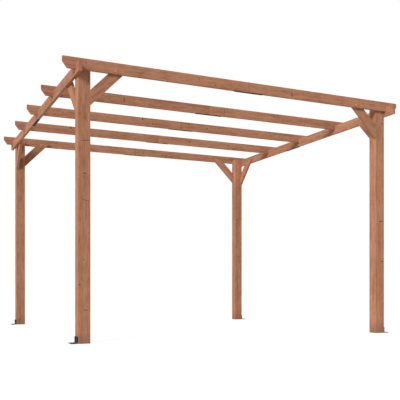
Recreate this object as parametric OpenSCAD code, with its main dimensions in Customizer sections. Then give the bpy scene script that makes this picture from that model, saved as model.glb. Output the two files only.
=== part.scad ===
// Square timber pergola on four posts.
// Ground is Z = 0 and the origin is the middle of the footprint.
// X runs left to right along the rafters, Y runs front to back along the side beams.

/* [Posts] */
// Side of each square post
post_w = 90; // [80:1:100]
// Distance between post centres, the same both ways
post_pitch = 2674; // [2400:2:2900]

/* [Boards] */
// Thickness of every rafter, side beam and brace board
board_t = 24; // [20:1:30]
// Height of a rafter
rafter_h = 81; // [74:1:95]
// Height of a side beam
beam_h = 80; // [74:1:95]
// Width of a knee brace, square to its length
brace_w = 80; // [60:1:90]

/* [Roof] */
// Overall length of the rafters, and of the side beams
roof_len = 3000; // [2900:10:3200]
// Height of the rafter tops above the ground
roof_top = 2046; // [1900:1:2400]
// How far the side beam tops lie below the rafter tops
beam_drop = 41; // [36:1:46]
// Distance between the three inner rafters
rafter_pitch = 645; // [560:5:680]
// Upright part of a rafter end, above its long chamfer
tip_h = 34; // [24:1:44]
// Length of the chamfer along the rafter
tip_run = 35; // [25:1:50]
// How far behind the middle the two boards of a side beam meet
beam_joint = 130; // [0:10:300]

/* [Knee braces] */
// Height of the lower corner of a brace below the board that it props
brace_reach = 244; // [200:2:300]
// How far a brace laps over that board
brace_lap = 35; // [20:1:38]

/* [Splice plates] */
// Length of the flat plate under each joint between two boards
plate_len = 256; // [160:4:320]
// Thickness of the plate
plate_t = 2.5; // [2:0.5:4]

/* [Foot brackets] */
// Height of the upright leg
bracket_h = 51; // [45:1:90]
// Reach of the ground leg, out from the post
bracket_out = 50; // [45:1:90]
// Thickness of the bracket steel
bracket_t = 5; // [2:0.5:6]
// Diameter of the two ground anchor holes
anchor_d = 10; // [8:0.5:12]
// Distance between the two anchor holes
anchor_pitch = 50; // [40:1:60]

/* [Hidden] */
LEFT = -1;
RIGHT = 1;
FRONT = -1;
BACK = 1;
post_out = post_pitch/2 + post_w/2;       // outer post faces, from the middle
post_in = post_pitch/2 - post_w/2;        // inner post faces, from the middle
rafter_z = roof_top - rafter_h;           // underside of the rafters
beam_top = roof_top - beam_drop;
beam_z = beam_top - beam_h;               // underside of the side beams
lap = beam_top - rafter_z;                // height that a rafter and a side beam share
notch = lap/2;                            // each board is notched by half of it
half_len = roof_len/2;
edge_mid = post_out + board_t/2;          // middle of the boards on the outer post faces
rafter_ys = [-edge_mid, -rafter_pitch, 0, rafter_pitch, edge_mid];
anchor_x = bracket_out*0.58;              // anchor holes, out from the post face
fold = 5;                                 // slope in the inner corner of the bracket
cut = 1;                                  // overrun of a cutting shape

wood = [0.65, 0.45, 0.35];
steel = [0.16, 0.18, 0.18];

// Turns a shape drawn in the XZ plane into a board of thickness t, centred on Y = 0.
module board(t) {
    rotate([90, 0, 0]) translate([0, 0, -t/2]) linear_extrude(t) children();
}

// Square post, standing on the ground with its top level with the side beams.
module post(side, end) {
    color(wood) translate([side*post_pitch/2, end*post_pitch/2, 0])
        linear_extrude(beam_top) square(post_w, center = true);
}

// One half of a rafter, from the joint in the middle out to its chamfered end.
// A notch in its underside drops over the side beam.
module half_rafter(side, n) {
    color(wood) translate([0, rafter_ys[n - 1], rafter_z])
        mirror([side == LEFT ? 1 : 0, 0, 0]) board(board_t)
            difference() {
                polygon([
                    [0, 0],
                    [half_len - tip_run, 0],
                    [half_len, rafter_h - tip_h],
                    [half_len, rafter_h],
                    [0, rafter_h]
                ]);
                translate([post_out, -cut]) square([board_t, notch + cut]);
            }
}

// One of the two boards of a side beam, from the joint between them out to its square end.
// A notch in its top edge takes each rafter.
module side_beam(side, end) {
    near = end == FRONT ? -half_len : beam_joint;
    far = end == FRONT ? beam_joint : half_len;
    color(wood) translate([side*edge_mid, 0, beam_z]) rotate([0, 0, 90]) board(board_t)
        difference() {
            translate([near, 0]) square([far - near, beam_h]);
            for (y = rafter_ys) if (y > near && y < far)
                translate([y - board_t/2, beam_h - notch]) square([board_t, notch + cut]);
        }
}

// Knee brace outline in a plane along the board that it props: 45 degrees, cut upright
// against the post at X = 0 and level at the top. Z = 0 is the underside of that board.
module brace_outline() {
    rise = brace_w*sqrt(2);
    top_run = brace_reach + brace_lap;
    polygon([
        [0, -brace_reach],
        [top_run, brace_lap],
        [top_run - rise, brace_lap],
        [0, rise - brace_reach]
    ]);
}

// Brace under a front or back rafter, against the rafter's inner face.
module rafter_brace(side, end) {
    color(wood) translate([side*post_in, end*(post_out - board_t/2), rafter_z])
        mirror([side == RIGHT ? 1 : 0, 0, 0]) board(board_t) brace_outline();
}

// Brace under a side beam, against the beam's inner face.
module beam_brace(side, end) {
    color(wood) translate([side*(post_out - board_t/2), end*post_in, beam_z])
        mirror([0, end == BACK ? 1 : 0, 0]) rotate([0, 0, 90]) board(board_t) brace_outline();
}

// Flat steel plate under the joint between two boards, long along X.
module plate() {
    color(steel) translate([0, 0, -plate_t/2])
        cube([plate_len, board_t, plate_t], center = true);
}

module rafter_plate(n) {
    translate([0, rafter_ys[n - 1], rafter_z]) plate();
}

module beam_plate(side) {
    translate([side*edge_mid, beam_joint, beam_z]) rotate([0, 0, 90]) plate();
}

// Steel angle bracket on the outer face of a post, with two anchor holes in its ground leg.
module foot_bracket(side, end) {
    color(steel) translate([side*post_out, end*post_pitch/2, 0])
        mirror([side == LEFT ? 1 : 0, 0, 0])
            difference() {
                board(post_w) polygon([
                    [0, 0],
                    [bracket_out, 0],
                    [bracket_out, bracket_t],
                    [bracket_t + fold, bracket_t],
                    [bracket_t, bracket_t + fold],
                    [bracket_t, bracket_h],
                    [0, bracket_h]
                ]);
                for (y = [-anchor_pitch/2, anchor_pitch/2])
                    translate([anchor_x, y, -cut]) cylinder(d = anchor_d, h = bracket_t + 2*cut, $fn = 48);
            }
}

post(LEFT, FRONT);  // post_front_left
post(RIGHT, FRONT);  // post_front_right
post(LEFT, BACK);  // post_back_left
post(RIGHT, BACK);  // post_back_right

half_rafter(LEFT, 1);  // rafter_1_left
half_rafter(RIGHT, 1);  // rafter_1_right
half_rafter(LEFT, 2);  // rafter_2_left
half_rafter(RIGHT, 2);  // rafter_2_right
half_rafter(LEFT, 3);  // rafter_3_left
half_rafter(RIGHT, 3);  // rafter_3_right
half_rafter(LEFT, 4);  // rafter_4_left
half_rafter(RIGHT, 4);  // rafter_4_right
half_rafter(LEFT, 5);  // rafter_5_left
half_rafter(RIGHT, 5);  // rafter_5_right

side_beam(LEFT, FRONT);  // left_beam_front
side_beam(LEFT, BACK);  // left_beam_back
side_beam(RIGHT, FRONT);  // right_beam_front
side_beam(RIGHT, BACK);  // right_beam_back

rafter_brace(LEFT, FRONT);  // rafter_brace_front_left
rafter_brace(RIGHT, FRONT);  // rafter_brace_front_right
rafter_brace(LEFT, BACK);  // rafter_brace_back_left
rafter_brace(RIGHT, BACK);  // rafter_brace_back_right
beam_brace(LEFT, FRONT);  // beam_brace_front_left
beam_brace(RIGHT, FRONT);  // beam_brace_front_right
beam_brace(LEFT, BACK);  // beam_brace_back_left
beam_brace(RIGHT, BACK);  // beam_brace_back_right

rafter_plate(1);  // rafter_1_plate
rafter_plate(2);  // rafter_2_plate
rafter_plate(3);  // rafter_3_plate
rafter_plate(4);  // rafter_4_plate
rafter_plate(5);  // rafter_5_plate
beam_plate(LEFT);  // left_beam_plate
beam_plate(RIGHT);  // right_beam_plate

foot_bracket(LEFT, FRONT);  // foot_bracket_front_left
foot_bracket(RIGHT, FRONT);  // foot_bracket_front_right
foot_bracket(LEFT, BACK);  // foot_bracket_back_left
foot_bracket(RIGHT, BACK);  // foot_bracket_back_right
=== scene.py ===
# %% [markdown]
# # A square timber pergola
# Four square posts carry two side beams. Five rafters are halved over the beams, and knee
# braces stiffen each corner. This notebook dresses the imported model: every timber gets eased
# edges, its own growth rings and its own knots, the steel gets bends and a coating, and the
# screws are placed where the boards are fastened. Everything is in metres, in the model's frame.

# %% Load the frame
import math
import random

import bmesh
import bpy
from mathutils import Matrix, Vector


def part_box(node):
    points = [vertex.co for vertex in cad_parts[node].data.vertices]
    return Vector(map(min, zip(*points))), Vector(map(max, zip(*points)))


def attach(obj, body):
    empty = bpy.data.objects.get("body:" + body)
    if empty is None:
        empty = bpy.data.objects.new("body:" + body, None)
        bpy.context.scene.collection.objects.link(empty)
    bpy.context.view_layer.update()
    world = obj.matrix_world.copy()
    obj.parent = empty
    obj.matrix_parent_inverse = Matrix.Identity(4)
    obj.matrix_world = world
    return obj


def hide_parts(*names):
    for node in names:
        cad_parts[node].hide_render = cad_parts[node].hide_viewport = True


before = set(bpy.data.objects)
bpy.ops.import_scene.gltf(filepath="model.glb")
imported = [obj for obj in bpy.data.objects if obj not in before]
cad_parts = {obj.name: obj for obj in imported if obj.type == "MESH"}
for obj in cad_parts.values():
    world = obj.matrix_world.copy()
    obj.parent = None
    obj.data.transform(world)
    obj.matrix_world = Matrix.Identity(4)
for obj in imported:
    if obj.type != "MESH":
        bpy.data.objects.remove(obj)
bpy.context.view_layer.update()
NODES = sorted(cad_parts)
MM = 0.001

# %% [markdown]
# ## Where the viewer stands
# The pergola is seen by someone sitting on the ground in front of its left corner. The camera
# could be tilted up at the roof, but then the posts would lean together. So it is held level,
# which keeps them parallel, and a vertical shift of the lens, as an architect would use, brings
# the roof into the picture.

# %% Camera
SENSOR = 36.0
FOCAL_LENGTH = 59.6
CAMERA_PLACE = (-2.567, -6.060, 0.412)
# A camera looks straight down at 0 degrees, and level at 90.
LEVEL = 90
TURN = 24.64
LENS_RISE = 0.21625
FAR_CLIP = 200.0

camera_data = bpy.data.cameras.new("camera")
camera_data.sensor_width = SENSOR
camera_data.lens = FOCAL_LENGTH
camera_data.shift_y = LENS_RISE
camera_data.clip_end = FAR_CLIP
camera = bpy.data.objects.new("camera", camera_data)
camera.location = CAMERA_PLACE
camera.rotation_euler = (math.radians(LEVEL), 0, -math.radians(TURN))
bpy.context.scene.collection.objects.link(camera)
bpy.context.scene.camera = camera
print("camera", CAMERA_PLACE, "lens", FOCAL_LENGTH, "turned", TURN)

# %% [markdown]
# ## Small helpers for materials
# A procedural material is a graph of nodes. It could be wired by hand in the shader editor, but
# a script shows it whole and can be changed in one place. It reads best with one helper that
# makes a node, sets its options and plugs in its inputs, and a few more for sums, colours and
# the values that a mesh carries.


# %% Node helpers
def add(tree, kind, inputs=None, **options):
    """Makes a node. An input's value is a plain value, or the output socket that feeds it."""
    node = tree.nodes.new(kind)
    for key, value in options.items():
        setattr(node, key, value)
    for key, value in (inputs or {}).items():
        if isinstance(value, bpy.types.NodeSocket):
            tree.links.new(value, node.inputs[key])
        else:
            node.inputs[key].default_value = value
    return node


def calc(tree, operation, *values, clamp=False):
    """One Math node on up to three values."""
    inputs = dict(enumerate(values))
    return add(tree, "ShaderNodeMath", inputs, operation=operation, use_clamp=clamp).outputs[0]


def soft_step(tree, value, low, high):
    """0 at low, 1 at high and a smooth change between. Low may be the greater of the two."""
    inputs = {"Value": value, "From Min": low, "From Max": high}
    return add(tree, "ShaderNodeMapRange", inputs, interpolation_type="SMOOTHSTEP").outputs[0]


def parts(tree, vector):
    """The three numbers of a vector."""
    outputs = add(tree, "ShaderNodeSeparateXYZ", {0: vector}).outputs
    return outputs[0], outputs[1], outputs[2]


def attribute(tree, name, output="Fac"):
    """A value that the mesh carries."""
    return add(tree, "ShaderNodeAttribute", attribute_name=name).outputs[output]


def object_place(tree):
    """Where a point lies, in metres."""
    return add(tree, "ShaderNodeTexCoord").outputs["Object"]


print("node helpers", [helper.__name__ for helper in (add, calc, soft_step, parts, attribute)])

# %% Colour helpers
# The sockets of a Mix node that is set to colours.
MIX_FACTOR, MIX_FIRST, MIX_SECOND, MIX_RESULT = 0, 6, 7, 2


def srgb(red, green, blue):
    """A screen colour from 0 to 255, as the linear colour that a shader takes: the sRGB curve."""
    linear = []
    for level in (red, green, blue):
        part = level / 255
        linear.append(part / 12.92 if part <= 0.04045 else ((part + 0.055) / 1.055) ** 2.4)
    return (*linear, 1.0)


def mix(tree, factor, first, second, blend="MIX"):
    """One colour Mix node."""
    inputs = {MIX_FACTOR: factor, MIX_FIRST: first, MIX_SECOND: second}
    return add(tree, "ShaderNodeMix", inputs, data_type="RGBA", blend_type=blend).outputs[MIX_RESULT]


def tint(tree, colour, share, strength, other):
    """The colour turned towards another one: by strength where share is 1, and not at 0."""
    return mix(tree, calc(tree, "MULTIPLY", share, strength), colour, other)


print("a middle grey is", round(srgb(128, 128, 128)[0], 3), "in linear light")


# %% Material helpers
def new_material(name):
    """An empty node material, the tree to build in, and its output."""
    material = bpy.data.materials.new(name)
    material.use_nodes = True
    material.node_tree.nodes.clear()
    output = material.node_tree.nodes.new("ShaderNodeOutputMaterial")
    return material, material.node_tree, output


def bumps(tree, height, strength, distance):
    """The shading of small bumps, as high as distance where height is 1."""
    inputs = {"Strength": strength, "Distance": distance, "Height": height}
    return add(tree, "ShaderNodeBump", inputs).outputs[0]


def principled(tree, output, colour, rough, normal, fixed):
    """A surface. Numbers that are the same all over it are set on the shader's own sockets."""
    inputs = {"Base Color": colour, "Roughness": rough, "Normal": normal, **fixed}
    shader = add(tree, "ShaderNodeBsdfPrincipled", inputs)
    tree.links.new(shader.outputs[0], output.inputs[0])


print("material helpers", [helper.__name__ for helper in (new_material, bumps, principled)])

# %% [markdown]
# ## Wood with a grain that runs through it
# A sawn board is a slice through a tree, so its grain is a solid pattern. A picture laid on each
# face would not meet at the edges. Here every timber carries a vector called grain instead: how
# far a point is along the board, and how far it is from the heart of the tree in the two
# directions across. All patterns are drawn in that vector, long along the board and fine across
# it, so they run on from face to face and end as arcs on the sawn ends.

# %% Patterns along the grain
# Each pattern: waves a metre along the board and across it, detail and roughness.
PATTERNS = {
    "wander": (1.3, 9.0, 2.0, 0.5),
    "broad": (1.6, 30.0, 3.0, 0.62),
    "figure": (5.0, 150.0, 3.0, 0.6),
    "fibre": (22.0, 1500.0, 2.0, 0.6),
    "blotch": (5.0, 11.0, 3.0, 0.55),
    "mottle": (16.0, 58.0, 4.0, 0.65),
    "drift": (2.0, 26.0, 2.0, 0.5),
}
# How far apart in the noise two boards may lie.
BOARD_STEP = 61.0


def grain_patterns(tree, grain):
    """Noise for every pattern. The board's number keeps two boards from looking the same."""
    board = calc(tree, "MULTIPLY", attribute(tree, "board"), BOARD_STEP)
    noise = {}
    for name, (along, across, detail, roughness) in PATTERNS.items():
        inputs = {0: grain, 1: (along, across, across)}
        point = add(tree, "ShaderNodeVectorMath", inputs, operation="MULTIPLY").outputs[0]
        inputs = {"Vector": point, "W": board, "Scale": 1.0, "Detail": detail, "Roughness": roughness}
        noise[name] = add(tree, "ShaderNodeTexNoise", inputs, noise_dimensions="4D").outputs[0]
    return noise


print("patterns", ", ".join(PATTERNS))

# %% [markdown]
# ## Knots and growth rings
# A knot is the foot of a branch, which grew outwards from the heart. Each face carries the
# place, direction and size of the knot that runs through its stretch of the board. From these
# the shader works out how far a point is from that knot, in knot sizes, and whether it lies on
# the side where the branch grew. The rings are steps in the distance from the heart. They
# wander a little along the board and bend around the knots, and late in each year's growth the
# wood is darker and harder. A Wave Texture makes rings too. Sums are used instead, because then
# a knot can push the distance itself outwards, and the rings part around it.

# %% Knots and rings
# A pair of values, here and below, says where a soft step is 0 and where it is 1.
BRANCH_START = (0.004, 0.012)
RING_WIDTH = 0.0042
HEART_WANDER = 0.012
RING_BEND = 0.009
BEND_FALL = -0.22
LATE_POWER = 2.6
LATE_EDGE = 0.9


def knot_distance(tree, grain):
    """Distance from the nearest knot, 1 at its edge, and 1 on the side where it grew, or 0."""
    along, thin, wide = parts(tree, grain)
    place, aim_thin, aim_wide = parts(tree, attribute(tree, "knot_place", "Vector"))
    half_length, half_width, lean = parts(tree, attribute(tree, "knot_size", "Vector"))
    outward = calc(tree, "MULTIPLY", thin, aim_thin)
    outward = calc(tree, "MULTIPLY_ADD", wide, aim_wide, outward)
    sideways = calc(tree, "MULTIPLY", wide, aim_thin)
    sideways = calc(tree, "SUBTRACT", calc(tree, "MULTIPLY", thin, aim_wide), sideways)
    lengthways = calc(tree, "SUBTRACT", along, place)
    lengthways = calc(tree, "SUBTRACT", lengthways, calc(tree, "MULTIPLY", sideways, lean))
    by_length = calc(tree, "DIVIDE", lengthways, half_length)
    by_width = calc(tree, "DIVIDE", sideways, half_width)
    square = calc(tree, "MULTIPLY", by_width, by_width)
    square = calc(tree, "MULTIPLY_ADD", by_length, by_length, square)
    return calc(tree, "SQRT", square), soft_step(tree, outward, *BRANCH_START)


def late_wood(tree, grain, wander, far, own_side):
    """How far each point is into the dark late wood of its ring, from 0 to 1."""
    thin, wide = parts(tree, grain)[1:]
    radius = calc(tree, "MULTIPLY", thin, thin)
    radius = calc(tree, "SQRT", calc(tree, "MULTIPLY_ADD", wide, wide, radius))
    radius = calc(tree, "MULTIPLY_ADD", wander, HEART_WANDER, radius)
    near = calc(tree, "MULTIPLY", calc(tree, "POWER", far, 2.0), BEND_FALL)
    near = calc(tree, "MULTIPLY", calc(tree, "EXPONENT", near), own_side)
    radius = calc(tree, "MULTIPLY_ADD", near, RING_BEND, radius)
    year = calc(tree, "FRACT", calc(tree, "DIVIDE", radius, RING_WIDTH))
    late = calc(tree, "POWER", year, LATE_POWER)
    return calc(tree, "MULTIPLY", late, soft_step(tree, year, 1.0, LATE_EDGE))


print("ring width", RING_WIDTH)

# %% [markdown]
# ## Brown stain
# The timber has a brown wood stain, which dries unevenly. All patterns are added up to one tone,
# and a Color Ramp turns it into the stain's colours, so that they always go together.
# The stain also drifts between a pink brown and an orange brown, and some boards dried paler
# than others. Mixing a new colour for each pattern would soon give colours that no stain has.

# %% Stain
DARK_STAIN = srgb(125, 79, 56)
MIDDLE_STAIN = srgb(173, 121, 94)
PALE_STAIN = srgb(198, 148, 119)
RAMP_ENDS = (0.05, 0.95)
MIDDLE_STOP = 0.5
MIDDLE_TONE = 0.54
NOISE_MIDDLE = 0.5
# How far each pattern moves the tone.
TONE_SHARES = {"broad": 0.70, "figure": 0.60, "fibre": 0.30, "blotch": 0.45, "mottle": 0.80}
LATE_TONE = -0.16
ORANGE_TURN = (1.04, 0.97, 0.80, 1.0)
ORANGE_STRENGTH = 0.7
DRIFT_RANGE = (0.42, 0.66)
DRIFT_SHARE = 0.8
PALENESS_SPAN = 0.16
LEAST_PALE = 0.92


def stain(tree, noise, late):
    """The colour of stained wood away from knots, ends and edges."""
    tone = MIDDLE_TONE
    for name, share in TONE_SHARES.items():
        centred = calc(tree, "SUBTRACT", noise[name], NOISE_MIDDLE)
        tone = calc(tree, "MULTIPLY_ADD", centred, share, tone)
    tone = calc(tree, "MULTIPLY_ADD", late, LATE_TONE, tone, clamp=True)
    ramp = add(tree, "ShaderNodeValToRGB", {0: tone})
    stops = ramp.color_ramp.elements
    for stop, position, colour in zip(stops, RAMP_ENDS, (DARK_STAIN, PALE_STAIN)):
        stop.position = position
        stop.color = colour
    stops.new(MIDDLE_STOP).color = MIDDLE_STAIN
    colour = ramp.outputs[0]
    orange = mix(tree, ORANGE_STRENGTH, colour, ORANGE_TURN, "MULTIPLY")
    drift = soft_step(tree, noise["drift"], *DRIFT_RANGE)
    colour = tint(tree, colour, drift, DRIFT_SHARE, orange)
    level = calc(tree, "MULTIPLY_ADD", attribute(tree, "paleness"), PALENESS_SPAN, LEAST_PALE)
    return add(tree, "ShaderNodeHueSaturation", {"Value": level, "Color": colour}).outputs[0]


print("stain moved by", len(TONE_SHARES), "patterns")

# %% [markdown]
# ## Knots, ends, edges and feet
# A knot shows as a pale swirl around a brown heart with a ragged rim. Some are sound and faint,
# others are dead and dark. Sawn ends drink more stain, and so does the last of each face beside
# them. Edges hold less of it where hands and straps have rubbed them, and splashes darken the
# feet. Each of these is a mask from 0 to 1 that turns the colour towards another one.

# %% Knot colours
KNOT_SWIRL = srgb(192, 146, 118)
KNOT_HEART = srgb(96, 56, 36)
SWIRL_REACH = (2.6, 1.2)
SWIRL_SHARE = 0.3
RAGGED_RIM = 0.9
HEART_EDGE = (1.45, 0.6)


def with_knots(tree, colour, mottle, far, own_side):
    """The colour with its knots, and the mask of their hearts."""
    swirl = calc(tree, "MULTIPLY", soft_step(tree, far, *SWIRL_REACH), own_side)
    colour = tint(tree, colour, swirl, SWIRL_SHARE, KNOT_SWIRL)
    ragged = calc(tree, "SUBTRACT", mottle, NOISE_MIDDLE)
    ragged = calc(tree, "MULTIPLY_ADD", ragged, RAGGED_RIM, far)
    heart = calc(tree, "MULTIPLY", soft_step(tree, ragged, *HEART_EDGE), own_side)
    return tint(tree, colour, heart, attribute(tree, "knot_depth"), KNOT_HEART), heart


print("knot swirl out to", SWIRL_REACH[0], "knot sizes")

# %% Ends, edges and feet
END_GRAIN = srgb(150, 100, 72)
SOAKED = srgb(110, 70, 50)
RUBBED = srgb(204, 160, 132)
SPLASHED = srgb(120, 78, 56)
END_FACES = (0.25, 0.9)
END_SHARE = 0.15
SOAK_REACH = (0.006, 0.001)
SOAK_SHARE = 0.5
RUB_BLOTCH = 0.6
RUB_RANGE = (0.78, 0.92)
RUB_SHARE = 0.55
SPLASH_HEIGHT = -0.05
SPLASH_UNEVEN = 0.22
SPLASH_FADE = (0.06, -0.02)
SPLASH_SHARE = 0.3


def with_wear(tree, colour, grain, noise):
    """The colour changed at sawn ends, along edges and near the ground."""
    end_cut = soft_step(tree, attribute(tree, "end_cut"), *END_FACES)
    colour = tint(tree, colour, end_cut, END_SHARE, END_GRAIN)
    along = calc(tree, "ABSOLUTE", parts(tree, grain)[0])
    from_end = calc(tree, "SUBTRACT", attribute(tree, "half_length"), along)
    soak = calc(tree, "SUBTRACT", soft_step(tree, from_end, *SOAK_REACH), end_cut, clamp=True)
    colour = tint(tree, colour, soak, SOAK_SHARE, SOAKED)
    rub = calc(tree, "MULTIPLY_ADD", noise["blotch"], RUB_BLOTCH, noise["figure"])
    rub = calc(tree, "MULTIPLY", soft_step(tree, rub, *RUB_RANGE), attribute(tree, "arris"))
    colour = tint(tree, colour, rub, RUB_SHARE, RUBBED)
    height = parts(tree, object_place(tree))[2]
    splash = calc(tree, "MULTIPLY_ADD", noise["blotch"], SPLASH_UNEVEN, SPLASH_HEIGHT)
    splash = soft_step(tree, calc(tree, "SUBTRACT", height, splash), *SPLASH_FADE)
    return tint(tree, colour, splash, SPLASH_SHARE, SPLASHED)


print("stain soaks in", SOAK_REACH[0] / MM, "mm from each sawn end")

# %% [markdown]
# ## The finished wood
# The late wood is a little smoother and stands up a little, as it does on planed softwood that
# has been outside. Such fine relief would take millions of faces as real displacement, so it is
# only shaded, by a Bump node. Stained wood has hardly any shine, so the specular level is low.

# %% Softwood material
WOOD_ROUGH = 0.70
LATE_ROUGH = -0.10
FIBRE_ROUGH = 0.14
RELIEF_SHARES = {"late": 0.5, "fibre": 0.55, "heart": 0.5}
# Each material's bumps: how strongly they shade, and how high they stand in metres.
WOOD_BUMPS = (0.5, 0.0006)
WOOD_SHINE = {"Specular IOR Level": 0.10}


def softwood():
    """The stained wood, put together from the patterns, rings, knots and wear above."""
    material, tree, output = new_material("stained_softwood")
    grain = attribute(tree, "grain", "Vector")
    noise = grain_patterns(tree, grain)
    far, own_side = knot_distance(tree, grain)
    late = late_wood(tree, grain, noise["wander"], far, own_side)
    colour = stain(tree, noise, late)
    colour, heart = with_knots(tree, colour, noise["mottle"], far, own_side)
    colour = with_wear(tree, colour, grain, noise)
    rough = calc(tree, "MULTIPLY_ADD", late, LATE_ROUGH, WOOD_ROUGH)
    rough = calc(tree, "MULTIPLY_ADD", noise["fibre"], FIBRE_ROUGH, rough)
    relief = calc(tree, "MULTIPLY", noise["fibre"], RELIEF_SHARES["fibre"])
    relief = calc(tree, "MULTIPLY_ADD", late, RELIEF_SHARES["late"], relief)
    relief = calc(tree, "MULTIPLY_ADD", heart, RELIEF_SHARES["heart"], relief)
    normal = bumps(tree, relief, *WOOD_BUMPS)
    principled(tree, output, colour, rough, normal, WOOD_SHINE)
    return material


wood = softwood()
print("softwood nodes", len(wood.node_tree.nodes))

# %% [markdown]
# ## Coated steel
# The brackets and splice plates are mild steel under a black green coating. It is slightly
# pebbled, worn pale along the edges and dusty near the ground. A metallic surface would mirror
# the white studio and look grey. The steel is under the coating and never shows, so the surface
# isn't metallic.

# %% Coated steel material
# Noise: waves a metre and detail.
PEBBLE = (700.0, 2.0)
CLOUD = (35.0, 4.0)
DARK_COAT = srgb(27, 34, 32)
PALE_COAT = srgb(48, 56, 53)
WORN_COAT = srgb(84, 92, 90)
DUST = srgb(120, 116, 108)
WEAR_PEBBLE = 0.35
WEAR_RANGE = (0.70, 0.80)
WEAR_SHARE = 0.7
DUST_UNEVEN = -0.02
DUST_FADE = (0.004, -0.008)
DUST_SHARE = 0.15
CLOUD_ROUGH = 0.25
COAT_ROUGH = 0.58
COAT_BUMPS = (0.25, 0.0002)
COAT_SHINE = {"Specular IOR Level": 0.12}


def fine_noise(tree, scale, detail):
    """Noise in the metres of the model."""
    inputs = {"Vector": object_place(tree), "Scale": scale, "Detail": detail}
    return add(tree, "ShaderNodeTexNoise", inputs).outputs[0]


def coated_steel():
    """Black green paint with fine pebbles, slow clouds, pale worn edges and dusty feet."""
    material, tree, output = new_material("coated_steel")
    pebble = fine_noise(tree, *PEBBLE)
    cloud = fine_noise(tree, *CLOUD)
    colour = mix(tree, cloud, DARK_COAT, PALE_COAT)
    wear = soft_step(tree, calc(tree, "MULTIPLY_ADD", pebble, WEAR_PEBBLE, cloud), *WEAR_RANGE)
    wear = calc(tree, "MULTIPLY", wear, attribute(tree, "arris"))
    colour = tint(tree, colour, wear, WEAR_SHARE, WORN_COAT)
    height = parts(tree, object_place(tree))[2]
    dust = calc(tree, "MULTIPLY_ADD", cloud, DUST_UNEVEN, height)
    dust = soft_step(tree, dust, *DUST_FADE)
    colour = tint(tree, colour, dust, DUST_SHARE, DUST)
    rough = calc(tree, "MULTIPLY_ADD", cloud, CLOUD_ROUGH, COAT_ROUGH)
    principled(tree, output, colour, rough, bumps(tree, pebble, *COAT_BUMPS), COAT_SHINE)
    return material


steel = coated_steel()
print("steel nodes", len(steel.node_tree.nodes))

# %% [markdown]
# ## Yellow zinc
# The wood screws are plated in yellow zinc, a bright gold that turns a little greener or redder
# from head to head. Slow noise gives each head its own gold, and fast noise hazes it. A fully
# metallic head only shows what it mirrors, which is little at this size. So it is set partly
# metallic, and its own gold stays bright.

# %% Yellow zinc material
HEAD_TO_HEAD = (18.0, 1.0)
HAZE = (900.0, 3.0)
RED_GOLD = srgb(232, 176, 62)
GREEN_GOLD = srgb(240, 204, 84)
HAZED_GOLD = srgb(190, 136, 60)
GOLD_RANGE = (0.35, 0.65)
HAZE_SHARE = 0.25
HAZE_ROUGH = 0.30
ZINC_ROUGH = 0.22
ZINC_BUMPS = (0.15, 0.0001)
ZINC_METAL = {"Metallic": 0.6}


def yellow_zinc():
    """A thin metal coat whose gold shifts slowly, under a fine haze."""
    material, tree, output = new_material("yellow_zinc_plating")
    head = fine_noise(tree, *HEAD_TO_HEAD)
    haze = fine_noise(tree, *HAZE)
    colour = mix(tree, soft_step(tree, head, *GOLD_RANGE), RED_GOLD, GREEN_GOLD)
    colour = tint(tree, colour, haze, HAZE_SHARE, HAZED_GOLD)
    rough = calc(tree, "MULTIPLY_ADD", haze, HAZE_ROUGH, ZINC_ROUGH)
    principled(tree, output, colour, rough, bumps(tree, haze, *ZINC_BUMPS), ZINC_METAL)
    return material


zinc = yellow_zinc()
print("materials", wood.name, steel.name, zinc.name)

# %% [markdown]
# ## How each timber lies in its tree
# A post is sawn with the heart of the tree inside it. A board is sawn beside the heart, so its
# wide faces show arches. The shader could guess the grain from a piece's shape, but the braces
# run at 45 degrees. So each timber gets its own three directions: along the grain, then through
# the thin way of a board, then across its width.

# %% Grain directions
X, Y, Z = Vector((1, 0, 0)), Vector((0, 1, 0)), Vector((0, 0, 1))
SLOPE = math.sqrt(0.5)


def grain_axes(name):
    """Unit vectors along the grain, through the thin way and across the width."""
    if name.startswith("post"):
        return Z, X, Y
    if name.startswith("rafter_brace"):
        inward = X if name.endswith("left") else -X
        along = (inward + Z) * SLOPE
        return along, Y, along.cross(Y)
    if name.startswith("beam_brace"):
        inward = Y if "front" in name else -Y
        along = (inward + Z) * SLOPE
        return along, X, along.cross(X)
    if "beam" in name:
        return Y, X, Z
    return X, Y, Z


def is_steel(name):
    """Whether a node is a splice plate or a foot bracket."""
    return name.endswith("plate") or name.startswith("foot_bracket")


TIMBERS = [name for name in NODES if not is_steel(name)]
STEELS = [name for name in NODES if is_steel(name)]
print(len(TIMBERS), "timbers and", len(STEELS), "steel pieces")
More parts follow.
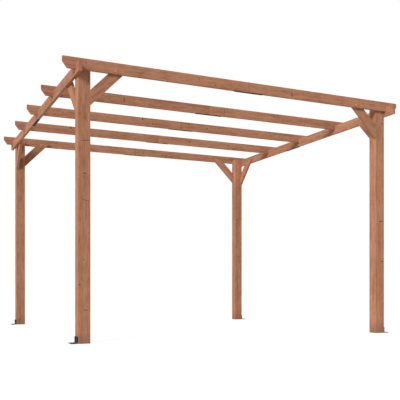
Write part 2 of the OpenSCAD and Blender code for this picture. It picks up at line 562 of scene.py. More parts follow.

# %% [markdown]
# ## Knots
# A knot is the foot of a branch: a rod that runs outwards from the heart. Here each timber is
# divided along its length into stretches, one knot to a stretch, and a knot is written as its
# place along the board, its direction from the heart, its half length along the board, its half
# width across it, how far it leans and how dark it is. The plainest knots, on the front faces of
# three posts and of the rafters, are listed one by one, and so are all of the front left post. The
# rest are dealt out by a random generator that is seeded with the timber's name, so every run
# gives the same tree.

# %% Knots listed one by one
# On the front face of a post: height above the ground, place across the face from its middle,
# half length, half width, lean and depth.
POST_KNOTS = {
    "post_front_left": [
        (0.100, 0.020, 0.003, 0.006, 0.0, 0.7),
        (0.242, 0.009, 0.005, 0.016, 0.1, 0.65),
        (0.426, -0.034, 0.006, 0.008, 0.0, 0.6),
        (0.605, -0.005, 0.006, 0.006, 0.0, 0.7),
        (0.800, 0.030, 0.003, 0.006, 0.0, 0.7),
        (1.035, 0.004, 0.003, 0.040, 0.25, 0.8),
        (1.228, 0.003, 0.007, 0.016, 0.0, 0.65),
        (1.466, 0.008, 0.004, 0.036, -0.12, 0.8),
        (1.654, -0.033, 0.005, 0.006, 0.0, 0.7),
        (1.870, 0.020, 0.003, 0.006, 0.0, 0.5),
    ],
    "post_front_right": [
        (0.634, 0.024, 0.006, 0.014, 0.0, 0.7),
        (0.990, 0.016, 0.005, 0.026, 0.0, 0.7),
        (1.196, -0.029, 0.007, 0.010, 0.0, 0.4),
        (1.437, -0.010, 0.007, 0.010, 0.0, 0.4),
        (1.858, 0.024, 0.006, 0.014, 0.0, 0.7),
    ],
    "post_back_right": [
        (0.778, 0.007, 0.012, 0.008, 0.0, 0.6),
        (1.242, -0.022, 0.009, 0.010, 0.0, 0.7),
    ],
}
# On the front face of a rafter: place along it from its middle, height above its underside, and
# then the same.
RAFTER_KNOTS = {
    "rafter_1": [
        (-0.729, 0.025, 0.004, 0.005, 0.0, 0.7),
        (-0.298, 0.021, 0.005, 0.006, 0.0, 0.8),
        (0.403, 0.031, 0.005, 0.026, 0.0, 0.9),
    ],
    "rafter_2": [
        (-0.799, 0.040, 0.009, 0.024, 0.15, 0.6),
        (-0.153, 0.043, 0.003, 0.014, 0.6, 0.7),
        (0.156, 0.040, 0.003, 0.042, 0.0, 0.7),
        (0.486, 0.043, 0.006, 0.009, 0.0, 0.6),
        (0.683, 0.055, 0.005, 0.012, 0.0, 0.7),
    ],
    "rafter_3": [
        (-1.178, 0.042, 0.010, 0.012, 0.0, 0.45),
        (-0.403, 0.065, 0.008, 0.009, 0.0, 0.8),
        (-0.300, 0.030, 0.009, 0.011, 0.0, 0.6),
        (0.083, 0.065, 0.008, 0.010, 0.0, 0.7),
        (0.285, 0.040, 0.008, 0.011, 0.0, 0.7),
    ],
    "rafter_4": [
        (-0.947, 0.070, 0.009, 0.011, 0.0, 0.8),
        (0.375, 0.040, 0.009, 0.011, 0.0, 0.7),
        (0.854, 0.040, 0.008, 0.010, 0.0, 0.7),
    ],
    "rafter_5": [(0.347, 0.029, 0.011, 0.014, 0.0, 0.5)],
}


def chosen_knots(name, low, high, pith):
    """The listed knots of a timber, aimed from its heart at its front face."""
    middle = (low + high) / 2
    half_thick = (high.y - low.y) / 2
    knots = []
    for height, across, *shape in POST_KNOTS.get(name, []):
        angle = math.atan2(-half_thick - pith[1], across - pith[0])
        knots.append((height - middle.z, angle, *shape))
    half_height = (high.z - low.z) / 2
    rafter = name.rpartition("_")[0]
    for along, height, *shape in RAFTER_KNOTS.get(rafter, []):
        if low.x < along < high.x:
            angle = math.atan2(height - half_height - pith[1], -half_thick - pith[0])
            knots.append((along - middle.x, angle, *shape))
    return knots


hand_placed = list(POST_KNOTS.values()) + list(RAFTER_KNOTS.values())
print("knots placed by hand", sum(len(knots) for knots in hand_placed))

# %% Random knots
KNOT_GAP = {"post": (0.20, 0.38), "board": (0.24, 0.52), "brace": (0.12, 0.22)}
FIRST_GAP_SHARE = (0.3, 1.0)
KNOT_LENGTH = (0.0028, 0.0050)
KNOT_WIDTH = (0.0040, 0.0090)
SPIKE_WIDTH = (0.012, 0.022)
SPIKE_SHARE = 0.3
# Where the branch crosses a board, from the middle of its width.
KNOT_AIM = (-0.045, 0.045)
KNOT_LEAN = (-0.15, 0.15)
KNOT_DEPTH = (0.25, 0.70)
# A random knot this near to a listed one is left out.
CLEAR_OF_CHOSEN = 0.08


def knot_kind(name):
    """Posts, boards and braces each have their own distance from knot to knot."""
    if name.startswith("post"):
        return "post"
    return "brace" if "brace" in name else "board"


def random_knots(name, length, pith, taken, draw):
    """Knots (along, direction from the heart, half sizes, lean, depth) clear of taken places."""
    near, far = KNOT_GAP[knot_kind(name)]
    knots = []
    along = -length / 2 + draw.uniform(*FIRST_GAP_SHARE) * near
    while along < length / 2:
        if knot_kind(name) == "post":
            angle = draw.uniform(0, 2 * math.pi)
        else:
            angle = math.atan2(draw.uniform(*KNOT_AIM) - pith[1], -pith[0])
        half_length = draw.uniform(*KNOT_LENGTH)
        spike = draw.random() < SPIKE_SHARE
        half_width = draw.uniform(*(SPIKE_WIDTH if spike else KNOT_WIDTH))
        lean = draw.uniform(*KNOT_LEAN)
        depth = draw.uniform(*KNOT_DEPTH)
        if all(abs(along - place) > CLEAR_OF_CHOSEN for place in taken):
            knots.append((along, angle, half_length, half_width, lean, depth))
        along += draw.uniform(near, far)
    return knots


print("random knots from", KNOT_GAP["brace"][0], "to", KNOT_GAP["board"][1], "m apart")

# %% [markdown]
# ## Planing and sawing a timber
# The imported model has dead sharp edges. A planed timber has its long edges eased to a small
# round, while a saw cut across it keeps almost all of its sharpness. So the copy of each
# timber is cleaned to flat faces, cut across between its knots, and given a Bevel modifier
# whose width is weighted by edge: full along the grain, a hair on the saw cuts, nothing in an
# inner corner. A Bevel node in the shader would be cheaper, but it would leave the outline sharp
# and wouldn't be exported. Hardened normals keep the wide faces flat to the eye.

# %% Timber shapes
SAME_CORNER = 0.01 * MM
FLAT_ANGLE = 0.5
# A saw cut's round, as a share of a planed edge's.
SAW_CUT_SHARE = 0.2
LONG_EDGE = 60 * MM
STRAIGHT = 0.999
ON_CUT = 0.001 * MM


def clean_copy(name):
    """A bmesh copy of a CAD node: corners joined, and one face to each flat side."""
    work = bmesh.new()
    work.from_mesh(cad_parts[name].data)
    bmesh.ops.remove_doubles(work, verts=work.verts, dist=SAME_CORNER)
    angle = math.radians(FLAT_ANGLE)
    bmesh.ops.dissolve_limit(work, angle_limit=angle, verts=work.verts, edges=work.edges)
    bmesh.ops.recalc_face_normals(work, faces=work.faces)
    return work


def weigh_edges(work, along):
    """Bevel weights: 1 on long planed edges, little on saw cuts, 0 in inner corners."""
    weights = work.edges.layers.float.new("bevel_weight_edge")
    for edge in work.edges:
        if not edge.is_convex:
            continue
        run = edge.verts[1].co - edge.verts[0].co
        planed = abs(run.normalized().dot(along)) > STRAIGHT and run.length > LONG_EDGE
        edge[weights] = 1.0 if planed else SAW_CUT_SHARE


def cut_across(work, along, middle, places):
    """Cuts the faces, not the solid, at each place along the board."""
    for place in places:
        geometry = work.verts[:] + work.edges[:] + work.faces[:]
        point = middle + along * place
        bmesh.ops.bisect_plane(work, geom=geometry, dist=ON_CUT, plane_co=point, plane_no=along)


print("saw cuts keep", 1 - SAW_CUT_SHARE, "of their sharpness")


# %% From a bmesh to a piece
def finished_mesh(name, work, modifiers):
    """The mesh that modifiers make of a bmesh: a list of (type, settings)."""
    mesh = bpy.data.meshes.new(name)
    work.to_mesh(mesh)
    work.free()
    holder = bpy.data.objects.new(name + "_making", mesh)
    bpy.context.scene.collection.objects.link(holder)
    for kind, settings in modifiers:
        modifier = holder.modifiers.new(kind.lower(), kind)
        for key, value in settings.items():
            setattr(modifier, key, value)
    graph = bpy.context.evaluated_depsgraph_get()
    made = bpy.data.meshes.new_from_object(holder.evaluated_get(graph))
    bpy.data.objects.remove(holder)
    made.name = name
    return made


def show(name, mesh, material, slot, *nodes):
    """Puts a finished mesh in the scene as a piece that stands for CAD nodes."""
    mesh.materials.clear()
    mesh.materials.append(material)
    piece = bpy.data.objects.new(name, mesh)
    bpy.context.scene.collection.objects.link(piece)
    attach(piece, "root")
    if nodes:
        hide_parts(*nodes)
    return piece


print("piece helpers", [helper.__name__ for helper in (finished_mesh, show)])

# %% [markdown]
# ## Writing the grain into a timber
# With the shape done, each point gets its grain vector, and each face gets the facts that are
# the same all over it: the board's own number, how pale its stain dried, how squarely the face
# cuts the grain, whether it is a rounded edge, and which knot runs through its stretch. A UV map
# could carry the grain too, but only in two directions. The values vary evenly over a face, so
# the shader can work out any distance from them exactly.

# %% Grain attributes
FLAT_FACE = 0.995


def store_numbers(mesh, name, numbers):
    """Writes one number for each face of a mesh."""
    mesh.attributes.new(name, "FLOAT", "FACE").data.foreach_set("value", numbers)


def store_vectors(mesh, name, domain, vectors):
    """Writes one vector for each face or point of a mesh."""
    numbers = [number for vector in vectors for number in vector]
    mesh.attributes.new(name, "FLOAT_VECTOR", domain).data.foreach_set("vector", numbers)


def mark_arris(mesh, axes):
    """1 on the narrow faces that a bevel made, 0 on the flat sides."""
    arris = []
    for face in mesh.polygons:
        squareness = max(abs(face.normal.dot(axis)) for axis in axes)
        arris.append(0.0 if squareness > FLAT_FACE else 1.0)
    store_numbers(mesh, "arris", arris)


def write_grain(mesh, axes, middle, pith):
    """Each point's place along the timber and from its heart, and how each face cuts the grain."""
    along, thin, wide = axes
    grain = []
    for vertex in mesh.vertices:
        offset = vertex.co - middle
        across = (offset.dot(thin) - pith[0], offset.dot(wide) - pith[1])
        grain.append((offset.dot(along), *across))
    store_vectors(mesh, "grain", "POINT", grain)
    store_numbers(mesh, "end_cut", [abs(face.normal.dot(along)) for face in mesh.polygons])


def write_knots(mesh, along, middle, knots, cuts):
    """For each face, the knot that runs through its stretch, between two cuts."""
    places, sizes, depths = [], [], []
    for face in mesh.polygons:
        stretch = sum((face.center - middle).dot(along) > cut for cut in cuts)
        place, angle, half_length, half_width, lean, depth = knots[stretch]
        places.append((place, math.cos(angle), math.sin(angle)))
        sizes.append((half_length, half_width, lean))
        depths.append(depth)
    store_vectors(mesh, "knot_place", "FACE", places)
    store_vectors(mesh, "knot_size", "FACE", sizes)
    store_numbers(mesh, "knot_depth", depths)


print("a face is flat above", FLAT_FACE)

# %% The timbers
TIMBER_EASED = {
    "width": 1.5 * MM,
    "segments": 3,
    "limit_method": "WEIGHT",
    "harden_normals": True,
    "use_clamp_overlap": True,
}
# Where the heart lies from the middle of a post, and of a board in its thin way and its width.
POST_PITH = (-0.012, 0.012)
BOARD_PITH_OUT = (0.045, 0.085)
BOARD_PITH_UP = (-0.015, 0.015)
# The one timber that has only listed knots.
ALL_CHOSEN = "post_front_left"
# How pale the stain dried on some timbers, from 0 to 1. The others take a random value.
PALENESS = {
    "post_front_left": 0.78,
    "post_front_right": 0.86,
    "post_back_left": 0.46,
    "post_back_right": 0.83,
    "rafter_1_left": 0.96,
    "rafter_1_right": 0.62,
    "rafter_2_left": 0.08,
    "rafter_2_right": 0.93,
    "rafter_3_left": 0.68,
    "rafter_3_right": 0.46,
    "rafter_4_left": 0.48,
}


def pith_of(name, draw):
    """Where the heart of the tree lies, from the timber's middle, in its two cross directions."""
    if name.startswith("post"):
        return (draw.uniform(*POST_PITH), draw.uniform(*POST_PITH))
    side = draw.choice((-1, 1))
    return (side * draw.uniform(*BOARD_PITH_OUT), draw.uniform(*BOARD_PITH_UP))


def timber(name):
    """One finished timber that stands for its CAD node."""
    draw = random.Random(name)
    axes = grain_axes(name)
    along = axes[0]
    low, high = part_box(name)
    middle = (low + high) / 2
    work = clean_copy(name)
    reach = [(vertex.co - middle).dot(along) for vertex in work.verts]
    length = max(reach) - min(reach)
    pith = pith_of(name, draw)
    knots = chosen_knots(name, low, high, pith)
    if name != ALL_CHOSEN:
        taken = [knot[0] for knot in knots]
        knots += random_knots(name, length, pith, taken, draw)
    knots.sort()
    cuts = [(a[0] + b[0]) / 2 for a, b in zip(knots, knots[1:])]
    weigh_edges(work, along)
    cut_across(work, along, middle, cuts)
    mesh = finished_mesh(name + "_timber", work, [("BEVEL", TIMBER_EASED)])
    number = draw.random()
    write_grain(mesh, axes, middle, pith)
    write_knots(mesh, along, middle, knots, cuts)
    mark_arris(mesh, axes)
    facts = {"board": number, "half_length": length / 2, "paleness": PALENESS.get(name, number)}
    for fact, value in facts.items():
        store_numbers(mesh, fact, [value] * len(mesh.polygons))
    return show(name + "_timber", mesh, wood, "timber", name)


timbers = [timber(name) for name in TIMBERS]
print("timbers made", len(timbers), "faces on the last", len(timbers[-1].data.polygons))

# %% [markdown]
# ## Splice plates
# Each rafter and side beam is two boards, end to end. A flat steel strap under the joint ties
# them. The strap is cut with rounded corners and drilled along its length for screws. A drawn
# circle could stand for each hole, but a real hole takes a shadow. So the strap is drawn as an
# outline, thickened, drilled with a Boolean modifier and given a fine round on its edges.

# %% Drilling and shaping steel
HOLE_SIDES = 24
# The length of a drill bit, in thicknesses of the steel.
BIT_LENGTH = 4
STEEL_ROUND_STEPS = 2


def drill_bits(seats, diameter, thickness):
    """Cylinders to cut away: one through each (point, outward direction)."""
    work = bmesh.new()
    for point, outward in seats:
        turn = outward.to_track_quat("Z", "Y").to_matrix().to_4x4()
        bmesh.ops.create_cone(
            work,
            cap_ends=True,
            segments=HOLE_SIDES,
            radius1=diameter / 2,
            radius2=diameter / 2,
            depth=BIT_LENGTH * thickness,
            matrix=Matrix.Translation(point) @ turn,
        )
    mesh = bpy.data.meshes.new("drill_bits")
    work.to_mesh(mesh)
    work.free()
    bits = bpy.data.objects.new("drill_bits", mesh)
    bpy.context.scene.collection.objects.link(bits)
    return bits


def extruded(points, low, high, place):
    """A solid of an outline between two levels. place turns (a, b, level) into a Vector."""
    work = bmesh.new()
    bottom = [work.verts.new(place(a, b, low)) for a, b in points]
    top = [work.verts.new(place(a, b, high)) for a, b in points]
    work.faces.new(bottom)
    work.faces.new(top)
    for index in range(len(points)):
        after = (index + 1) % len(points)
        work.faces.new((bottom[index], bottom[after], top[after], top[index]))
    bmesh.ops.recalc_face_normals(work, faces=work.faces)
    return work


def machined(name, work, bits, width):
    """The mesh of a steel piece after drilling and easing its edges."""
    drill = {"operation": "DIFFERENCE", "solver": "EXACT", "object": bits}
    ease = {
        "width": width,
        "segments": STEEL_ROUND_STEPS,
        "limit_method": "ANGLE",
        "harden_normals": True,
    }
    mesh = finished_mesh(name, work, [("BOOLEAN", drill), ("BEVEL", ease)])
    bpy.data.objects.remove(bits)
    mark_arris(mesh, (X, Y, Z))
    return mesh


print("drill bits have", HOLE_SIDES, "sides")

# %% Plates
PLATE_CORNER = 5 * MM
PLATE_ROUND = 0.4 * MM
SCREW_HOLE = 5 * MM
PLATE_SCREWS = (-0.108, -0.066, -0.024, 0.024, 0.066, 0.108)
CORNER_STEPS = 6


def rounded_outline(half_x, half_y, corner):
    """Points of a rectangle with round corners, anticlockwise."""
    points = []
    for quarter, (side_x, side_y) in enumerate(((1, 1), (-1, 1), (-1, -1), (1, -1))):
        for step in range(CORNER_STEPS + 1):
            angle = (quarter + step / CORNER_STEPS) * math.pi / 2
            x = side_x * (half_x - corner) + corner * math.cos(angle)
            y = side_y * (half_y - corner) + corner * math.sin(angle)
            points.append((x, y))
    return points


def plate_seats(name):
    """The screws of a plate: points on its underside, and the way that their heads face."""
    low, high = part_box(name)
    middle = (low + high) / 2
    along = Y if "beam" in name else X
    return [(Vector((middle.x, middle.y, low.z)) + along * place, -Z) for place in PLATE_SCREWS]


def splice_plate(name):
    """One drilled strap that stands for its CAD node."""
    low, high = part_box(name)
    middle = (low + high) / 2
    half = (high - low) / 2

    def place(a, b, level):
        return Vector((middle.x + a, middle.y + b, level))

    work = extruded(rounded_outline(half.x, half.y, PLATE_CORNER), low.z, high.z, place)
    bits = drill_bits(plate_seats(name), SCREW_HOLE, high.z - low.z)
    mesh = machined(name + "_strap", work, bits, PLATE_ROUND)
    return show(name + "_strap", mesh, steel, "black_steel", name)


plates = [splice_plate(name) for name in STEELS if name.endswith("plate")]
print("splice plates", len(plates), "screws in each", len(PLATE_SCREWS))

# %% [markdown]
# ## Foot brackets
# A foot bracket is a strip of steel folded once: one leg is screwed to the post, and the other
# lies on the ground with two anchor holes. A press brake leaves a round fold, outside and
# inside. A bent strip could be made with a Simple Deform modifier, but the inner and outer arcs
# are easier to size when the outline is drawn from the side and then drawn out to the width of
# the post. The anchor holes stay open for the owner's own bolts.

# %% Brackets
BRACKET_STEEL = 5 * MM
FOLD_RADIUS = 8 * MM
FOLD_STEPS = 8
ANCHOR_REACH = 29 * MM
ANCHOR_PITCH = 50 * MM
ANCHOR_HOLE = 10 * MM
BRACKET_ROUND = 0.5 * MM
# Screws in the upright leg: across from its middle, and up from the ground.
LEG_SCREWS = ((-0.026, 0.038), (0.026, 0.038), (0.0, 0.023))


def outward_of(name):
    """The way that a left or right piece faces, away from the middle."""
    return X if "right" in name else -X


def fold_outline(reach, rise):
    """Side view of a folded strip: (out from the post, up from the ground)."""
    outer = FOLD_RADIUS + BRACKET_STEEL
    points = [(reach, 0.0), (reach, BRACKET_STEEL)]
    for step in range(FOLD_STEPS + 1):
        angle = math.pi / 2 * step / FOLD_STEPS
        x = outer - FOLD_RADIUS * math.sin(angle)
        z = outer - FOLD_RADIUS * math.cos(angle)
        points.append((x, z))
    points += [(BRACKET_STEEL, rise), (0.0, rise)]
    for step in range(FOLD_STEPS + 1):
        angle = math.pi / 2 * step / FOLD_STEPS
        points.append((outer - outer * math.cos(angle), outer - outer * math.sin(angle)))
    return points


def bracket_frame(name):
    """The post face's foot in the middle of a bracket, the outward way and its half width."""
    low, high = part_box(name)
    outward = outward_of(name)
    inner = low.x if outward.x > 0 else high.x
    return Vector((inner, (low.y + high.y) / 2, 0)), outward, (high.y - low.y) / 2


def foot_bracket(name):
    """One folded and drilled bracket that stands for its CAD node."""
    low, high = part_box(name)
    foot, outward, half_width = bracket_frame(name)

    def place(out, up, side):
        return foot + outward * out + Z * up + Y * side

    work = extruded(fold_outline(high.x - low.x, high.z), -half_width, half_width, place)
    sides = (-ANCHOR_PITCH / 2, ANCHOR_PITCH / 2)
    holes = [(foot + outward * ANCHOR_REACH + Y * side, Z) for side in sides]
    bits = drill_bits(holes, ANCHOR_HOLE, BRACKET_STEEL)
    mesh = machined(name + "_folded", work, bits, BRACKET_ROUND)
    return show(name + "_folded", mesh, steel, "black_steel", name)


brackets = [foot_bracket(name) for name in STEELS if name.startswith("foot")]
print("foot brackets", len(brackets), "faces on the last", len(brackets[-1].data.polygons))

# %% [markdown]
# ## Screw seats
# Screws go where a maker can reach: two through each lap between a brace and its board, two
# slanting through the foot of each brace into the post, and a few through each steel piece. A
# seat is a point on a face and the way that the screw head looks. The seats could be typed in,
# but worked out from each piece's own corners they stay on it when its size changes.

# %% Seats
LAP_SCREW_DROP = 15 * MM
LAP_SCREW_SPREAD = 27 * MM
TOE_SCREW_IN = 14 * MM
TOE_SCREW_HEIGHTS = (0.35, 0.70)
SAME_PLACE = 1 * MM


def corners_of(name):
    """The corners of a CAD node."""
    return [vertex.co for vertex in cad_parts[name].data.vertices]


def brace_middle(name, axis, level):
    """The middle of a 45 degree brace along axis 0 (X) or 1 (Y), at a level."""
    top = max(corner.z for corner in corners_of(name))
    at_top = [corner[axis] for corner in corners_of(name) if corner.z > top - SAME_PLACE]
    middle = (min(at_top) + max(at_top)) / 2
    return middle + math.copysign(top - level, middle)


def lap_seats(name):
    """Two screws across the lap at the top of a brace."""
    low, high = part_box(name)
    level = high.z - LAP_SCREW_DROP
    seats = []
    for spread in (-LAP_SCREW_SPREAD, LAP_SCREW_SPREAD):
        if name.startswith("beam_brace"):
            inner, facing = (low.x, -X) if high.x > 0 else (high.x, X)
            point = Vector((inner, brace_middle(name, 1, level) + spread, level))
        else:
            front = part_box("rafter_1_left")[0].y if "front" in name else low.y
            point = Vector((brace_middle(name, 0, level) + spread, front, level))
            facing = -Y
        seats.append((point, facing))
    return seats


def toe_seats(name):
    """Two screws near the upright cut at a brace's foot, one above the other."""
    low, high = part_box(name)
    axis = 1 if name.startswith("beam_brace") else 0
    at_post = high[axis] if low[axis] > 0 else low[axis]
    place = at_post - math.copysign(TOE_SCREW_IN, at_post)
    if axis == 1:
        outer, facing = (high.x, X) if high.x > 0 else (low.x, -X)
        spot = Vector((outer, place, 0))
    else:
        outer, facing = (low.y, -Y) if low.y < 0 else (high.y, Y)
        spot = Vector((place, outer, 0))
    touching = [corner.z for corner in corners_of(name) if abs(corner[axis] - at_post) < SAME_PLACE]
    foot = min(touching)
    rise = max(touching) - foot
    return [(spot + Z * (foot + share * rise), facing) for share in TOE_SCREW_HEIGHTS]


def leg_seats(name):
    """The screws in the upright leg of a foot bracket."""
    foot, outward = bracket_frame(name)[:2]
    face = foot + outward * BRACKET_STEEL
    return [(face + Y * side + Z * up, outward) for side, up in LEG_SCREWS]


braces = [name for name in TIMBERS if "brace" in name]
wood_seats = [seat for name in braces for seat in lap_seats(name)]
slant_seats = [seat for name in braces for seat in toe_seats(name)]
leg_screw_seats = [seat for name in STEELS if name.startswith("foot") for seat in leg_seats(name)]
strap_seats = [seat for name in STEELS if name.endswith("plate") for seat in plate_seats(name)]
print("screws in laps", len(wood_seats), "in brace feet", len(slant_seats))
print("screws in brackets", len(leg_screw_seats), "in plates", len(strap_seats))

# %% [markdown]
# ## Screw heads from Geometry Nodes
# Every screw head is the same shape. Copies could be placed by a loop in the script, but
# instancing in Geometry Nodes does that with one head and a few named sizes. The tree fills the
# ring between a circle and a star for the top of the head, sinks the star for the driver's
# recess, adds a tapering skirt and a flat bottom, and sets a copy on each point of a cloud of
# seats. Each point carries the way that its head looks, and a seeded random turn keeps the stars
# from lining up. The tree ends by making the copies real and giving them their material.

# %% Parts of a screw head
STAR_POINTS = 6
STAR_WAIST = 0.72


def joined(tree, *shapes):
    """Several shapes as one."""
    join = add(tree, "GeometryNodeJoinGeometry")
    for shape in shapes:
        tree.links.new(shape, join.inputs[0])
    return join.outputs[0]


def raised(tree, shape, height):
    """A shape moved straight up."""
    offset = add(tree, "ShaderNodeCombineXYZ", {2: height}).outputs[0]
    inputs = {"Geometry": shape, "Translation": offset}
    return add(tree, "GeometryNodeTransform", inputs).outputs[0]


def head_top(tree, given):
    """A disc with a star cut out of it, and the star's own face pushed down as a recess."""
    inputs = {"Resolution": given["Sides"], "Radius": given["Head Radius"]}
    rim = add(tree, "GeometryNodeCurvePrimitiveCircle", inputs).outputs[0]
    waist = calc(tree, "MULTIPLY", given["Star Radius"], STAR_WAIST)
    inputs = {"Points": STAR_POINTS, "Inner Radius": waist, "Outer Radius": given["Star Radius"]}
    star = add(tree, "GeometryNodeCurveStar", inputs).outputs[0]
    inputs = {"Curve": joined(tree, rim, star)}
    ring = add(tree, "GeometryNodeFillCurve", inputs, mode="TRIANGLES").outputs[0]
    recess = add(tree, "GeometryNodeFillCurve", {"Curve": star}, mode="NGONS").outputs[0]
    down = calc(tree, "MULTIPLY", given["Star Depth"], -1.0)
    inputs = {"Mesh": recess, "Offset Scale": down}
    recess = add(tree, "GeometryNodeExtrudeMesh", inputs, mode="FACES").outputs[0]
    return ring, recess


def head_skirt(tree, given):
    """The side of the head from its rim down to its neck, closed underneath."""
    depth = calc(tree, "ADD", given["Proud"], given["Sunk"])
    inputs = {
        "Vertices": given["Sides"],
        "Radius Top": given["Head Radius"],
        "Radius Bottom": given["Neck Radius"],
        "Depth": depth,
    }
    side = add(tree, "GeometryNodeMeshCone", inputs, fill_type="NONE").outputs[0]
    inputs = {"Vertices": given["Sides"], "Radius": given["Neck Radius"]}
    bottom = add(tree, "GeometryNodeMeshCircle", inputs, fill_type="NGON").outputs[0]
    return raised(tree, joined(tree, side, bottom), calc(tree, "MULTIPLY", depth, -1.0))


print("star points", STAR_POINTS)

# %% Screw head tree
# The tree's inputs: name, kind and the value that holds unless another is given.
SCREW_INPUTS = (
    ("Seats", "NodeSocketGeometry", None),
    ("Head Radius", "NodeSocketFloat", 4.0 * MM),
    ("Proud", "NodeSocketFloat", 0.5 * MM),
    ("Sunk", "NodeSocketFloat", 2.0 * MM),
    ("Neck Radius", "NodeSocketFloat", 2.0 * MM),
    ("Star Radius", "NodeSocketFloat", 1.9 * MM),
    ("Star Depth", "NodeSocketFloat", 0.9 * MM),
    ("Sides", "NodeSocketInt", 16),
    ("Turn Seed", "NodeSocketInt", 7),
    ("Plating", "NodeSocketMaterial", None),
)
WELD_DISTANCE = 0.001 * MM
# Random Value's sockets when it gives a plain number.
RANDOM_MOST, RANDOM_NUMBER = 3, 1


def head_turns(tree, given):
    """How each copy turns: to look its seat's way, and then about itself by chance."""
    inputs = {"Name": "looks"}
    looks = add(tree, "GeometryNodeInputNamedAttribute", inputs, data_type="FLOAT_VECTOR").outputs[0]
    facing = add(tree, "FunctionNodeAlignRotationToVector", {"Vector": looks}, axis="Z").outputs[0]
    inputs = {RANDOM_MOST: 2 * math.pi, "Seed": given["Turn Seed"]}
    chance = add(tree, "FunctionNodeRandomValue", inputs, data_type="FLOAT").outputs[RANDOM_NUMBER]
    about = add(tree, "ShaderNodeCombineXYZ", {2: chance}).outputs[0]
    inputs = {"Rotation": facing, "Rotate By": about}
    return add(tree, "FunctionNodeRotateRotation", inputs, rotation_space="LOCAL").outputs[0]


def screw_tree():
    """Points in, screws out."""
    tree = bpy.data.node_groups.new("screw_heads", "GeometryNodeTree")
    for name, kind, value in SCREW_INPUTS:
        made = tree.interface.new_socket(name, in_out="INPUT", socket_type=kind)
        if value is not None:
            made.default_value = value
    tree.interface.new_socket("Screws", in_out="OUTPUT", socket_type="NodeSocketGeometry")
    given = tree.nodes.new("NodeGroupInput").outputs
    head = joined(tree, *head_top(tree, given), head_skirt(tree, given))
    inputs = {"Geometry": head, "Distance": WELD_DISTANCE}
    head = add(tree, "GeometryNodeMergeByDistance", inputs).outputs[0]
    inputs = {
        "Points": given["Seats"],
        "Instance": raised(tree, head, given["Proud"]),
        "Rotation": head_turns(tree, given),
    }
    copies = add(tree, "GeometryNodeInstanceOnPoints", inputs).outputs[0]
    real = add(tree, "GeometryNodeRealizeInstances", {0: copies}).outputs[0]
    inputs = {"Geometry": real, "Material": given["Plating"]}
    plated = add(tree, "GeometryNodeSetMaterial", inputs).outputs[0]
    add(tree, "NodeGroupOutput", {0: plated})
    return tree


SCREW_TREE = screw_tree()
print("screw tree nodes", len(SCREW_TREE.nodes))

# %% [markdown]
# ## Setting the screws
# The seats become a cloud of loose points. The tree's inputs are set before it first runs, its
# result is copied to a plain mesh, and the normals are made to point outwards. Four sets of
# sizes make four kinds of screw. Those in the laps and brace feet are countersunk: their heads
# are widest at the top and their skirts vanish into the wood. Those in the straps lie nearly
# flush. Those in the brackets are small bosses that widen towards the steel.

# %% Screws
WOOD_SCREW = {"Head Radius": 4.5 * MM, "Neck Radius": 2.7 * MM, "Star Radius": 2.2 * MM}
TOE_SCREW = {"Head Radius": 2.4 * MM, "Neck Radius": 1.4 * MM, "Star Radius": 1.2 * MM}
STRAP_SCREW = {"Head Radius": 3.6 * MM, "Neck Radius": 2.2 * MM, "Proud": 0.4 * MM}
LEG_SCREW = {"Head Radius": 5.4 * MM, "Neck Radius": 6.4 * MM, "Proud": 4.2 * MM, "Sunk": 0.2 * MM}
HEAD_WEAR = 0.5


def set_screws(name, seats, sizes, material, slot):
    """All screws of one kind, as one piece."""
    cloud = bpy.data.meshes.new(name + "_seats")
    cloud.from_pydata([point for point, outward in seats], [], [])
    store_vectors(cloud, "looks", "POINT", [outward for point, outward in seats])
    holder = bpy.data.objects.new(name + "_making", cloud)
    bpy.context.scene.collection.objects.link(holder)
    modifier = holder.modifiers.new("screws", "NODES")
    modifier.node_group = SCREW_TREE
    values = {**sizes, "Plating": material}
    for item in SCREW_TREE.interface.items_tree:
        if item.in_out == "INPUT" and item.name in values:
            modifier[item.identifier] = values[item.name]
    graph = bpy.context.evaluated_depsgraph_get()
    mesh = bpy.data.meshes.new_from_object(holder.evaluated_get(graph))
    holder.modifiers.remove(modifier)
    bpy.data.objects.remove(holder)
    work = bmesh.new()
    work.from_mesh(mesh)
    bmesh.ops.recalc_face_normals(work, faces=work.faces)
    work.to_mesh(mesh)
    work.free()
    mesh.name = name
    store_numbers(mesh, "arris", [HEAD_WEAR] * len(mesh.polygons))
    return show(name, mesh, material, slot)


screws = [
    set_screws("brace_screws", wood_seats, WOOD_SCREW, zinc, "yellow_zinc"),
    set_screws("toe_screws", slant_seats, TOE_SCREW, zinc, "yellow_zinc"),
    set_screws("strap_screws", strap_seats, STRAP_SCREW, steel, "black_steel"),
    set_screws("bracket_screws", leg_screw_seats, LEG_SCREW, steel, "black_steel"),
]
for piece in screws:
    print(piece.name, "faces", len(piece.data.polygons))

# %% [markdown]
# ## Floor, backdrop and light
# The studio is plain: a pale floor that runs out to a white backdrop. A brighter lamp could make
# them white, but it would bleach the wood too. So what the camera sees directly of floor and
# backdrop is lifted to white by Light Path, and a little of the floor's own shade is left, which
# keeps a faint shadow under the pergola. The main lamp stands in front on the left and a little
# above the roof. It is wide enough to blur the edges of the shadows. A broader side lamp lights
# the left faces, a weak one behind keeps the back from going dark, and the white surroundings
# fill the rest.

# %% Floor
FLOOR_HALF = 30.0
PATCHES = (3.0, 3.0)
DULL_PATCH = srgb(226, 226, 224)
PALE_PATCH = srgb(234, 234, 233)
PAINT_ROUGH = 0.5
LIFT_SHARE = 0.88
FLOOR_LIFT = 1.055


def seen_directly(tree):
    """1 for the camera's own rays, also by way of metal or glass, and 0 for all others."""
    path = add(tree, "ShaderNodeLightPath").outputs
    seen = calc(tree, "MAXIMUM", path["Is Camera Ray"], path["Is Glossy Ray"])
    return calc(tree, "MAXIMUM", seen, path["Is Transmission Ray"])


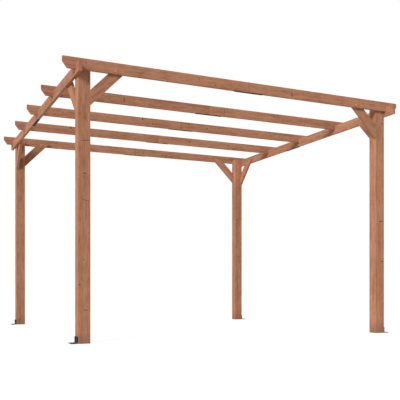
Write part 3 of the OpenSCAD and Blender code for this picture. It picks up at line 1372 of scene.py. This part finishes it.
def floor_material():
    """Dull white paint that is mixed mostly with plain white where it is seen directly."""
    material, tree, output = new_material("pale_floor")
    colour = mix(tree, fine_noise(tree, *PATCHES), DULL_PATCH, PALE_PATCH)
    inputs = {"Color": colour, "Roughness": PAINT_ROUGH}
    diffuse = add(tree, "ShaderNodeBsdfDiffuse", inputs).outputs[0]
    lift = add(tree, "ShaderNodeEmission", {"Strength": FLOOR_LIFT}).outputs[0]
    share = calc(tree, "MULTIPLY", seen_directly(tree), LIFT_SHARE)
    both = add(tree, "ShaderNodeMixShader", {0: share, 1: diffuse, 2: lift})
    tree.links.new(both.outputs[0], output.inputs[0])
    return material


floor_mesh = bpy.data.meshes.new("floor")
corners = [(-1, -1), (1, -1), (1, 1), (-1, 1)]
floor_points = [(FLOOR_HALF * x, FLOOR_HALF * y, 0.0) for x, y in corners]
floor_mesh.from_pydata(floor_points, [], [(0, 1, 2, 3)])
floor_mesh.materials.append(floor_material())
floor = bpy.data.objects.new("floor", floor_mesh)
bpy.context.scene.collection.objects.link(floor)
print("floor side", 2 * FLOOR_HALF)

# %% Lamps
# Where each lamp's light comes from, its strength, and the degrees that it fills in the sky.
LAMPS = {
    "key_lamp": ((-0.72, -0.56, 0.41), 1.95, 18.0),
    "side_lamp": ((-0.93, -0.27, 0.24), 0.82, 25.0),
    "back_lamp": ((0.60, 0.75, 0.45), 0.75, 30.0),
}
LAMP_DISTANCE = 5

for name, (came_from, strength, spread) in LAMPS.items():
    sun = bpy.data.lights.new(name, "SUN")
    sun.energy = strength
    sun.angle = math.radians(spread)
    lamp = bpy.data.objects.new(name, sun)
    lamp.rotation_euler = Vector(came_from).to_track_quat("Z", "Y").to_euler()
    lamp.location = Vector(came_from) * LAMP_DISTANCE
    bpy.context.scene.collection.objects.link(lamp)
print("lamps", ", ".join(LAMPS))

# %% White surroundings
ROOM_LIGHT = 0.34
WHITE = (1, 1, 1, 1)

world = bpy.data.worlds.new("studio")
bpy.context.scene.world = world
world.use_nodes = True
tree = world.node_tree
tree.nodes.clear()
strength = calc(tree, "MULTIPLY_ADD", seen_directly(tree), 1.0 - ROOM_LIGHT, ROOM_LIGHT)
white = add(tree, "ShaderNodeBackground", {"Color": WHITE, "Strength": strength})
add(tree, "ShaderNodeOutputWorld", {"Surface": white.outputs[0]})
bpy.context.scene.view_settings.view_transform = "Standard"
print("room light", ROOM_LIGHT)
